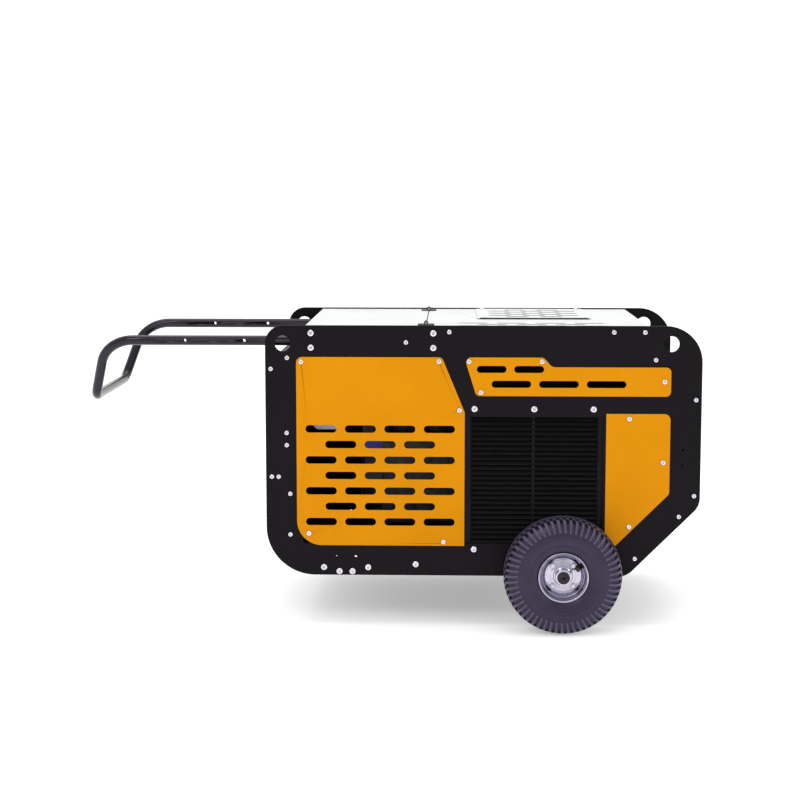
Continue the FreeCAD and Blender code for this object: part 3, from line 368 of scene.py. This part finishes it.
def dress(node, slot):
    """Give a CAD node its material, join its split corners and round its sharp edges a little."""
    piece = frame["nodes"][node]
    piece.data.materials.clear()
    piece.data.materials.append(MATERIALS[slot])
    weld = piece.modifiers.new("weld", "WELD")
    weld.merge_threshold = 0.00002
    if slot in SOFT_EDGES:
        bevel = piece.modifiers.new("edges", "BEVEL")
        bevel.width = SOFT_EDGES[slot] * MM
        bevel.segments = 2
        bevel.limit_method = "ANGLE"
        bevel.angle_limit = math.radians(50)
        bevel.use_clamp_overlap = True


OTHER_LOOKS = {
    "axle": "black_oxide", "axle_collars": "black_oxide",
    "top_cover": "slotted_cover", "vent_hatch": "slotted_cover",
}
for entry in frame["record"]["subparts"]:
    dress(entry["node"], entry["material_slot"])
for node, look in OTHER_LOOKS.items():
    frame["nodes"][node].data.materials[0] = MATERIALS[look]


# ---------------------------------------------------------------- mesh helpers
def finish_piece(name, mesh, slot, body, smooth=35, look=None):
    """Recalculate normals, shade smooth by angle, and make the mesh ride on its body."""
    mesh_data = bpy.data.meshes.new(name)
    bmesh.ops.recalc_face_normals(mesh, faces=mesh.faces)
    mesh.to_mesh(mesh_data)
    mesh.free()
    piece = bpy.data.objects.new(name, mesh_data)
    bpy.context.scene.collection.objects.link(piece)
    mesh_data.materials.append(MATERIALS[look or slot])
    mesh_data.shade_smooth()
    mesh_data.set_sharp_from_angle(angle=math.radians(smooth))
    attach(piece, body)
    return piece


def rounded(points, steps=4):
    """Closed outline of (u, v, corner radius), with each rounded corner drawn as an arc."""
    outline = []
    for i, (u, v, corner) in enumerate(points):
        here = Vector((u, v))
        if corner == 0:
            outline.append(here)
            continue
        back = (Vector(points[i - 1][:2]) - here).normalized()
        ahead = (Vector(points[(i + 1) % len(points)][:2]) - here).normalized()
        half = back.angle(ahead) / 2
        reach = corner / math.tan(half)
        centre = here + (back + ahead).normalized() * (corner / math.sin(half))
        start = here + back * reach - centre
        end = here + ahead * reach - centre
        outline += [centre + start.slerp(end, k / steps) for k in range(steps + 1)]
    return outline


def skin(mesh, rings, closed=True, capped=True):
    """Quads between neighbouring rings of equal count, and a face over each end."""
    count = len(rings[0])
    for one, other in zip(rings, rings[1:]):
        for k in range(count if closed else count - 1):
            m = (k + 1) % count
            mesh.faces.new((one[k], one[m], other[m], other[k]))
    if capped:
        mesh.faces.new(rings[0])
        mesh.faces.new(rings[-1][::-1])


def turned(centre, radius, offset, angle):
    """Point at a radius and an offset, both in millimetres, about an axle along y."""
    return centre + Vector((radius * math.cos(angle), offset, radius * math.sin(angle))) * MM


def lathe(mesh, outline, centre, segments=96):
    """Closed outline of (radius, offset) in millimetres turned about an axle along y."""
    rings = []
    for i in range(segments):
        angle = 2 * math.pi * i / segments
        rings.append([mesh.verts.new(turned(centre, r, w, angle)) for r, w in outline])
    skin(mesh, rings + rings[:1], capped=False)


def bar(mesh, start, end, radius, sides=6, turn=0.0):
    """Prism with the given number of sides between two points, in metres."""
    along = (end - start).normalized()
    across = along.orthogonal().normalized()
    other = along.cross(across)
    rings = []
    for point in (start, end):
        ring = []
        for i in range(sides):
            angle = 2 * math.pi * i / sides + turn
            spoke = across * math.cos(angle) + other * math.sin(angle)
            ring.append(mesh.verts.new(point + spoke * radius))
        rings.append(ring)
    skin(mesh, rings)


def disc(mesh, centre, radius, depth, sides=24):
    """Short drum that faces the handle end, domed at its front."""
    rings = []
    for share, back in ((1.0, 0.0), (1.0, 0.7), (0.82, 0.95), (0.45, 1.0)):
        ring = []
        for i in range(sides):
            angle = 2 * math.pi * i / sides
            across, up = radius * share * math.cos(angle), radius * share * math.sin(angle)
            ring.append(mesh.verts.new(centre + Vector((-depth * back, across, up))))
        rings.append(ring)
    skin(mesh, rings)


# ---------------------------------------------------------------- near-black felt behind the slots, as painted shade
FELT_COLUMNS, FELT_ROWS = 24, 16
FELT_THICKNESS = 0.003
FELT_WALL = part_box("side_plate_rear")[0].y - 0.030
SHADE_FELT_SHEETS = {  # corner, then the two edges that start there
    "shade_felt_engine_side": ((-0.245, FELT_WALL, 0.160), (0.405, 0, 0), (0, 0, 0.425)),
    "shade_felt_vent_side": ((0.165, FELT_WALL, 0.490), (0.395, 0, 0), (0, 0, 0.110)),
    "shade_felt_roof_front": ((0.125, -0.270, 0.651), (0.395, 0, 0), (0, 0.090, 0)),
    "shade_felt_roof_rear": ((0.125, 0.180, 0.651), (0.395, 0, 0), (0, 0.090, 0)),
}


def shade_felt_sheet(name, corner, along, up):
    """Rippled dark felt spanned by two edges, so that no daylight shows right through the case; its
    near-black is painted shade.
    """
    normal = along.cross(up).normalized()
    stride = FELT_ROWS + 1
    mesh = bmesh.new()
    grids = []
    for lift in (0.0, FELT_THICKNESS):
        grid = []
        for i in range(FELT_COLUMNS + 1):
            for k in range(FELT_ROWS + 1):
                ripple = 0.0012 * math.sin(i * 1.9 + k * 0.7) * math.sin(k * 1.3)
                place = corner + along * (i / FELT_COLUMNS) + up * (k / FELT_ROWS)
                grid.append(mesh.verts.new(place + normal * (lift + ripple)))
        for i in range(FELT_COLUMNS):
            for k in range(FELT_ROWS):
                a = i * stride + k
                mesh.faces.new((grid[a], grid[a + 1], grid[a + stride + 1], grid[a + stride]))
        grids.append(grid)
    edge = list(range(FELT_ROWS + 1))
    edge += [i * stride + FELT_ROWS for i in range(1, FELT_COLUMNS + 1)]
    edge += [FELT_COLUMNS * stride + k for k in range(FELT_ROWS - 1, -1, -1)]
    edge += [i * stride for i in range(FELT_COLUMNS - 1, 0, -1)]
    lower, upper = grids
    for a, b in zip(edge, edge[1:] + edge[:1]):
        mesh.faces.new((lower[a], lower[b], upper[b], upper[a]))
    finish_piece(name, mesh, "black_rubber", "case", look="felt")


for sheet_name, sheet in SHADE_FELT_SHEETS.items():
    shade_felt_sheet(sheet_name, *[Vector(vector) for vector in sheet])


# ---------------------------------------------------------------- small fittings
def hatch_edging():
    """Rubber edging pushed over the hatch's front edge."""
    low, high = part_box("vent_hatch")
    inset = 0.006
    steps = 24
    mesh = bmesh.new()
    outline = rounded([(-2.2, -1.2, 0.8), (1.4, -1.2, 0.6), (1.4, 3.2, 0.6), (-2.2, 3.2, 0.8)], 3)
    rings = []
    for i in range(steps + 1):
        x = low.x + inset + (high.x - low.x - 2 * inset) * i / steps
        rings.append([mesh.verts.new((x, low.y + y * MM, low.z + z * MM)) for y, z in outline])
    skin(mesh, rings)
    finish_piece("hatch_edging", mesh, "black_rubber", "case")


STROKES = {  # ends of each of a digit's seven strokes, in digit widths and heights
    "a": ((0, 1), (1, 1)), "b": ((1, 0.5), (1, 1)), "c": ((1, 0), (1, 0.5)), "d": ((0, 0), (1, 0)),
    "e": ((0, 0), (0, 0.5)), "f": ((0, 0.5), (0, 1)), "g": ((0, 0.5), (1, 0.5)),
}
READING = ("abged", "abgcd", "abcdef")  # the strokes of 2, 3 and 0
DIGIT_PITCH, DIGIT_WIDTH, DIGIT_HEIGHT = 0.016, 0.009, 0.016
DIGIT_SLANT = 0.0018
STROKE_RADIUS = 0.0009
METER_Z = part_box("control_panel")[1].z - 0.034


def meter_digits():
    """Lit seven-segment digits behind the meter's window."""
    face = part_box("instruments")[0].x + 0.0014
    mesh = bmesh.new()
    for place, letters in enumerate(READING):
        for letter in letters:
            ends = []
            for u, v in STROKES[letter]:
                y = 0.020 - DIGIT_PITCH * place - DIGIT_WIDTH * u - DIGIT_SLANT * v
                ends.append(Vector((face, y, METER_Z + DIGIT_HEIGHT * (v - 0.5))))
            gap = (ends[1] - ends[0]).normalized() * STROKE_RADIUS
            bar(mesh, ends[0] + gap, ends[1] - gap, STROKE_RADIUS)
    finish_piece("meter_digits", mesh, "stop_red", "case", look="display")


def indicator_lamp(number):
    """One of the domed lamps in a row under the key."""
    mesh = bmesh.new()
    panel_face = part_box("control_panel")[1].x
    disc(mesh, Vector((panel_face - 0.003, 0.075 + 0.012 * number, METER_Z - 0.045)), 0.0035, 0.004)
    finish_piece("lamp_%d" % number, mesh, "stop_red", "case", look="lamp")


hatch_edging()
meter_digits()
for lamp_number in range(3):
    indicator_lamp(lamp_number)


# ---------------------------------------------------------------- wheels, in millimetres
TYRE_LOW, TYRE_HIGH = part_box("tyre_front")
TYRE_RADIUS = (TYRE_HIGH.z - TYRE_LOW.z) / 2 / MM
TYRE_HALF = (TYRE_HIGH.y - TYRE_LOW.y) / 2 / MM
CROWN_RADIUS = TYRE_RADIUS - 5.2
CROWN_CURVE = 50.0
CROWN_FLATNESS = 0.62
CROWN_TURN = 0.62  # radians from the crown's middle to its shoulder
CROWN_SHARE = 0.36  # of the section, from the middle to the bead
SIDEWALL_TURN = 0.72 * math.pi
BELLY = TYRE_HALF - 0.9
BEAD_RADIUS, BEAD_OFFSET = 55.9, 33.0
BEAD_BACK = [(50.2, 28.6), (50.2, -28.6)]  # inner corners of the section
SIDE_RINGS = (84.0, 70.0)
LUGS = 56
LUG_ROOT = -0.8


def crown_place(angle):
    """Section point (radius, offset) on the crown."""
    return CROWN_RADIUS - CROWN_CURVE * (1 - math.cos(angle)) * CROWN_FLATNESS, CROWN_CURVE * math.sin(angle)


def tyre_skin(t, lift=0.0):
    """Section point (radius, offset) raised by the lift; t runs from -1 to 1 across the tyre."""
    u = abs(t)
    if u < CROWN_SHARE:
        slope = u / CROWN_SHARE * CROWN_TURN
        r, w = crown_place(slope)
    else:
        share = (u - CROWN_SHARE) / (1 - CROWN_SHARE)
        start_r, start_w = crown_place(CROWN_TURN)
        bulge = math.sin(math.pi * min(1.0, share * 1.02)) ** 0.8 if share < 0.98 else 0.0
        r = start_r + (BEAD_RADIUS - start_r) * share
        w = start_w + (BEAD_OFFSET - start_w) * share + (BELLY - (start_w + BEAD_OFFSET) / 2) * bulge
        slope = CROWN_TURN + (SIDEWALL_TURN - CROWN_TURN) * share
    return r + math.cos(slope) * lift, math.copysign(1, t) * (w + math.sin(slope) * lift)


def sidewall_place(radius):
    """Section place whose point is nearest to the radius."""
    return min((t / 200 for t in range(80, 200)), key=lambda place: abs(tyre_skin(place)[0] - radius))


def tread_block(mesh, centre, angle, span, rows, half_width, height, lean):
    """Raised block on the tyre from section place span[0] to span[1], leaning round the tyre."""
    rings = []
    for i in range(rows + 1):
        share = i / rows
        place = span[0] + (span[1] - span[0]) * share
        middle_angle = angle + lean * share
        top = height(share)
        ring = []
        for lift, wide in ((LUG_ROOT, 1.0), (top, 0.86), (top, -0.86), (LUG_ROOT, -1.0)):
            r, w = tyre_skin(place, lift)
            spread = wide * half_width(share) / r
            ring.append(mesh.verts.new(turned(centre, r, w, middle_angle + spread)))
        rings.append(ring)
    skin(mesh, rings, closed=False)


def side_ring(mesh, centre, radius, direction):
    """Thin moulded line round one sidewall."""
    r, w = tyre_skin(sidewall_place(radius))
    line = rounded([
        (r - 0.8, direction * (w - 1), 0), (r + 0.8, direction * (w - 1), 0),
        (r + 0.4, direction * (w + 0.5), 0.2), (r - 0.4, direction * (w + 0.5), 0.2),
    ], 2)
    lathe(mesh, line, centre, 120)


def tyre_piece(side):
    """Tyre with a centre row, two inner rows and two tapering shoulder rows of tread blocks."""
    node = "tyre_" + side
    centre = middle(node)
    mesh = bmesh.new()
    steps = 44
    outline = [tyre_skin(-1 + 2 * i / steps) for i in range(steps + 1)]
    lathe(mesh, outline + BEAD_BACK, centre, 168)
    for radius in SIDE_RINGS:
        for direction in (-1, 1):
            side_ring(mesh, centre, radius, direction)
    step = 2 * math.pi / LUGS
    for i in range(LUGS):
        angle = step * i
        tread_block(mesh, centre, angle, (-0.075, 0.075), 2, lambda s: 4.0, lambda s: 5.0, 0.012)
        for direction in (-1, 1):
            tread_block(mesh, centre, angle + step / 2, (direction * 0.105, direction * 0.225), 3,
                        lambda s: 4.1, lambda s: 4.9, direction * 0.012)
            tread_block(mesh, centre, angle, (direction * 0.25, direction * 0.56), 8,
                        lambda s: 3.9 - 1.5 * s, lambda s: 4.6 * (1 - s) ** 0.6 + 0.35, direction * 0.03)
    piece = finish_piece(node + "_tread", mesh, "tyre", "wheel_" + side, 30)
    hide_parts(node)


RIM_DISH = [  # radius, offset, corner radius: from the barrel round the flange and in to the hub
    (50.0, 3.0, 0), (50.0, 18.0, 2), (49.6, 28.0, 2), (53.0, 33.2, 2), (55.2, 34.4, 0.7), (54.2, 36.2, 0.9),
    (50.6, 34.6, 2), (47.6, 30.0, 2), (47.2, 19.5, 1.5), (45.2, 18.6, 0.8), (43.6, 15.0, 1.2),
    (41.0, 9.5, 3), (34.0, 7.0, 4), (26.0, 8.2, 4), (22.5, 13.5, 2), (20.2, 15.0, 1.5), (17.0, 15.4, 0.6),
    (15.0, 3.0, 0),
]
HUB_TUBE = [(14.0, -34.0, 0.4), (17.5, -34.0, 0.8), (17.5, 34.0, 0.8), (14.0, 34.0, 0.4)]
RIM_BOLTS = 4
RIM_BOLT_CIRCLE = 31.5
RIM_BOLT_STACK = [(6.0, 9.0, 7.2, 24), (8.9, 13.2, 5.6, 6), (13.1, 15.4, 2.9, 16)]  # washer, nut, bolt end
VALVE_CIRCLE = 37.5
VALVE_ANGLE = math.radians(28)


def rim_piece(side):
    """Two pressed dishes, the hub tube, and bolts with washers and nuts."""
    node = "rim_" + side
    centre = middle(node)
    mesh = bmesh.new()
    for direction in (-1, 1):
        lathe(mesh, rounded([(r, w * direction, corner) for r, w, corner in RIM_DISH]), centre)
    lathe(mesh, rounded(HUB_TUBE), centre, 64)
    for i in range(RIM_BOLTS):
        spot = turned(centre, RIM_BOLT_CIRCLE, 0, math.radians(45 + 90 * i))
        for direction in (-1, 1):
            axis = Vector((0, direction, 0)) * MM
            for start, end, radius, sides in RIM_BOLT_STACK:
                turn = 0.3 * i if sides == 6 else 0.0
                bar(mesh, spot + axis * start, spot + axis * end, radius * MM, sides, turn)
    piece = finish_piece(node + "_pressed", mesh, "rim_zinc", "wheel_" + side, 32)
    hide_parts(node)


def valve(side):
    """Rubber valve that leans out of the rim's outer face, with its cap."""
    outward = -1 if side == "front" else 1
    root = turned(middle("rim_" + side), VALVE_CIRCLE, outward * 9, VALVE_ANGLE)
    tip = root + Vector((-2.0, outward * 22, -1.0)) * MM
    along = (tip - root).normalized()
    mesh = bmesh.new()
    bar(mesh, root - along * 0.003, root + along * 0.0035, 0.0072, 20)
    bar(mesh, root, root + along * 0.013, 0.0048, 20)
    bar(mesh, root + along * 0.0125, tip, 0.0042, 12)
    finish_piece("valve_" + side, mesh, "black_rubber", "wheel_" + side)


for wheel in ("front", "rear"):
    tyre_piece(wheel)
    rim_piece(wheel)
    valve(wheel)


# ---------------------------------------------------------------- stage, light and camera
FLOOR_TONE = (0.93, 0.93, 0.93)
CAMERA_PLACE = (0.1408, -4.109, 0.9707)
CAMERA_DOWN = 6.94
CAMERA_TURN = 1.77
CAMERA_LENS = 78.75


def floor():
    """Plain pale floor, lit a little from within so that it stays pale under the case."""
    mesh = bmesh.new()
    bmesh.ops.create_grid(mesh, x_segments=1, y_segments=1, size=30)
    data = bpy.data.meshes.new("floor")
    mesh.to_mesh(data)
    mesh.free()
    plane = bpy.data.objects.new("floor", data)
    bpy.context.scene.collection.objects.link(plane)
    paint = Paint("floor_paint", FLOOR_TONE, 0.9, Specular_IOR_Level=0.0,
                  Emission_Color=(1.0, 1.0, 1.0, 1.0), Emission_Strength=0.34)
    paint.tint(paint.noise(1.5), FLOOR_TONE, 0.3)
    data.materials.append(paint.material)


def area_light(name, place, target, size, energy):
    """Rectangular studio light at a place, aimed at a target."""
    data = bpy.data.lights.new(name, "AREA")
    data.shape = "RECTANGLE"
    data.size, data.size_y = size
    data.energy = energy
    lamp = bpy.data.objects.new(name, data)
    lamp.location = place
    lamp.rotation_euler = (Vector(target) - Vector(place)).to_track_quat("-Z", "Y").to_euler()
    bpy.context.scene.collection.objects.link(lamp)


def world_light(behind, ahead):
    """White room all round, a little darker in front of the generator than behind it."""
    world = bpy.data.worlds.new("studio")
    world.use_nodes = True
    nodes, links = world.node_tree.nodes, world.node_tree.links
    direction = nodes.new("ShaderNodeTexCoord").outputs["Generated"]
    split = nodes.new("ShaderNodeSeparateXYZ")
    side = nodes.new("ShaderNodeMapRange")
    side.interpolation_type = "SMOOTHSTEP"
    for name, value in (("From Min", -0.7), ("From Max", 0.2), ("To Min", ahead), ("To Max", behind)):
        side.inputs[name].default_value = value
    links.new(direction, split.inputs["Vector"])
    links.new(split.outputs["Y"], side.inputs["Value"])
    background = nodes["Background"]
    background.inputs["Color"].default_value = (1, 1, 1, 1)
    links.new(side.outputs["Result"], background.inputs["Strength"])
    bpy.context.scene.world = world


def camera():
    """Long lens that looks slightly down on the front side."""
    data = bpy.data.cameras.new("camera")
    data.sensor_width = 36.0
    data.lens = CAMERA_LENS
    data.clip_end = 100
    lens = bpy.data.objects.new("camera", data)
    lens.location = CAMERA_PLACE
    lens.rotation_euler = (math.radians(90 - CAMERA_DOWN), 0, math.radians(CAMERA_TURN))
    bpy.context.scene.collection.objects.link(lens)
    bpy.context.scene.camera = lens


floor()
world_light(behind=1.1, ahead=0.80)
area_light("key", place=(-1.2, -3.4, 2.8), target=(0, 0, 0.35), size=(1.6, 1.2), energy=26)
area_light("fill", place=(2.6, -2.8, 1.4), target=(0, 0, 0.30), size=(1.0, 1.0), energy=10)
area_light("top", place=(0, 0.4, 3.4), target=(0, 0, 0.4), size=(3.2, 2.4), energy=40)
camera()
bpy.context.scene.view_settings.view_transform = "Standard"
